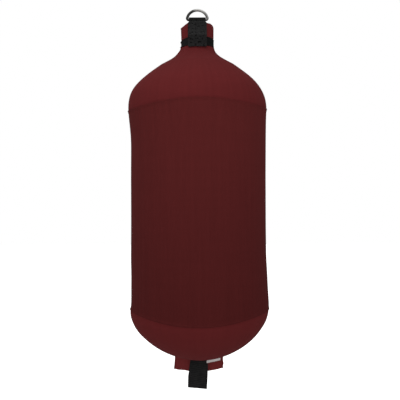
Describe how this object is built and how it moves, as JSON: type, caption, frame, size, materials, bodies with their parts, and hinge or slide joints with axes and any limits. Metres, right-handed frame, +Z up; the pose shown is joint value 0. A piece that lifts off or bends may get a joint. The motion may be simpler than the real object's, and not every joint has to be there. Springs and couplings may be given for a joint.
{
  "type": "inflatable boat fender",
  "caption": "Fabric-covered inflatable cylindrical boat fender that hangs by a D-ring from its gathered neck, with a webbing loop for a tie line at its tail.",
  "frame": {"origin": "the inside of the D-ring's top, in the middle, where a hook or shackle bears", "axes": "+Z up along the hanging fender, +X to the right along the ring's bar, -Y towards the side with the strap's free end"},
  "size_m": [0.365, 0.365, 0.9934],
  "materials": {
    "ring_steel": "polished stainless steel",
    "webbing": "black napped webbing",
    "elastic": "black ribbed elastic",
    "cover_fabric": "burgundy stretch fabric, fine weave",
    "sleeve_fabric": "darker burgundy stretch fabric, fine weave",
    "bladder_film": "smooth grey film",
    "valve_plastic": "moulded black plastic",
    "label_tape": "blank white woven tape"
  },
  "bodies": {
    "ring": {"d_ring": "ring_steel"},
    "fender": {"hanging_strap": "webbing", "neck_band": "elastic", "cover": "cover_fabric", "wear_sleeve": "sleeve_fabric", "bladder": "bladder_film", "valve_body": "valve_plastic", "valve_cap": "valve_plastic", "tail_loop": "webbing", "care_label": "label_tape"}
  },
  "joints": [
    {"name": "ring_swivel", "type": "hinge", "parent": "ring", "child": "fender", "pos_m": [0, 0, -0.0219], "axis": [1, 0, 0], "range_deg": [-110, 110]}
  ]
}
